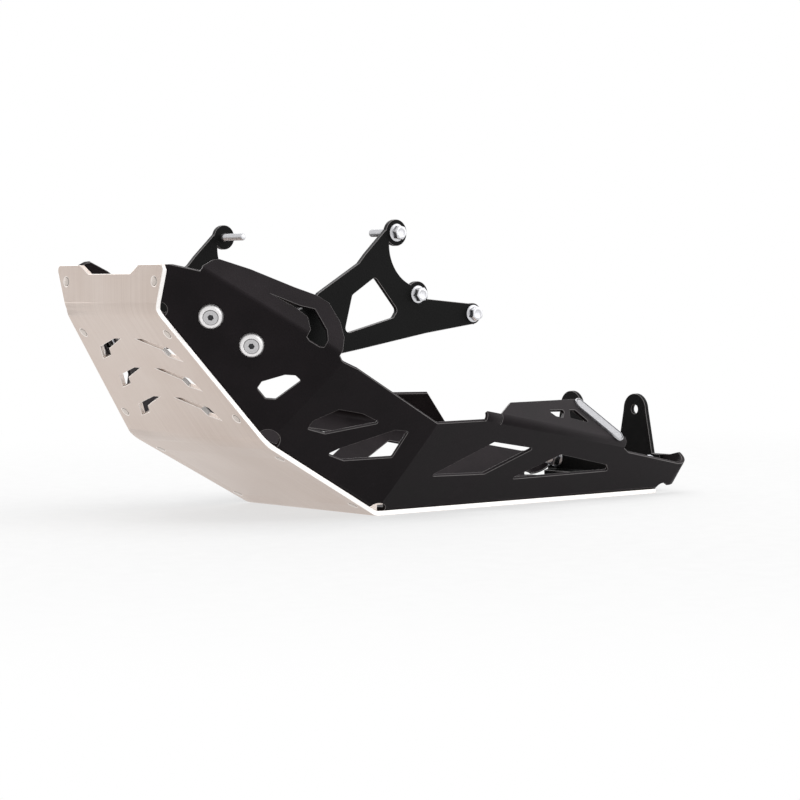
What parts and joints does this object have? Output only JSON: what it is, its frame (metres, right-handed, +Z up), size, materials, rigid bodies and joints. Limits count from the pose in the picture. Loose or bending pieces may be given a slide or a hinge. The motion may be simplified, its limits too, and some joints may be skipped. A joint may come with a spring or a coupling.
{
  "type": "motorcycle engine guard",
  "caption": "Bent aluminium base plate riveted between two black folded side panels with cut-out windows, on bolted engine brackets; guards a motorcycle's sump.",
  "frame": {"origin": "on the underside of the flat keel, on the centre plane, midway along the keel", "axes": "+X to the motorcycle's rear, +Y to its right side, +Z up"},
  "size_m": [0.545, 0.2922, 0.2384],
  "materials": {
    "brushed_aluminium": "fine brushed",
    "black_powder_coat": "fine textured powder coat",
    "black_bracket_coat": "satin powder coat",
    "rivet_aluminium": "satin",
    "turned_aluminium": "turned",
    "zinc_steel": "bright zinc plated",
    "badge_aluminium": "fine satin"
  },
  "bodies": {
    "root": {"base_plate": "brushed_aluminium", "side_panel_left": "black_powder_coat", "side_panel_right": "black_powder_coat", "front_rivets_left": "rivet_aluminium", "front_rivets_right": "rivet_aluminium", "chin_rivets_left": "rivet_aluminium", "chin_rivets_right": "rivet_aluminium", "keel_rivets_left": "rivet_aluminium", "keel_rivets_right": "rivet_aluminium", "cup_washers_left": "turned_aluminium", "cup_washers_right": "turned_aluminium", "panel_screws_left": "zinc_steel", "panel_screws_right": "zinc_steel", "panel_nuts_left": "zinc_steel", "panel_nuts_right": "zinc_steel", "engine_bracket_left": "black_bracket_coat", "engine_bracket_right": "black_bracket_coat", "engine_bolts_left": "zinc_steel", "engine_bolts_right": "zinc_steel", "rear_bracket": "black_bracket_coat", "rear_bolt_left": "zinc_steel", "rear_bolt_right": "zinc_steel", "rear_nut_left": "zinc_steel", "rear_nut_right": "zinc_steel", "badge_plate": "badge_aluminium", "badge_pins": "rivet_aluminium"}
  },
  "joints": []
}
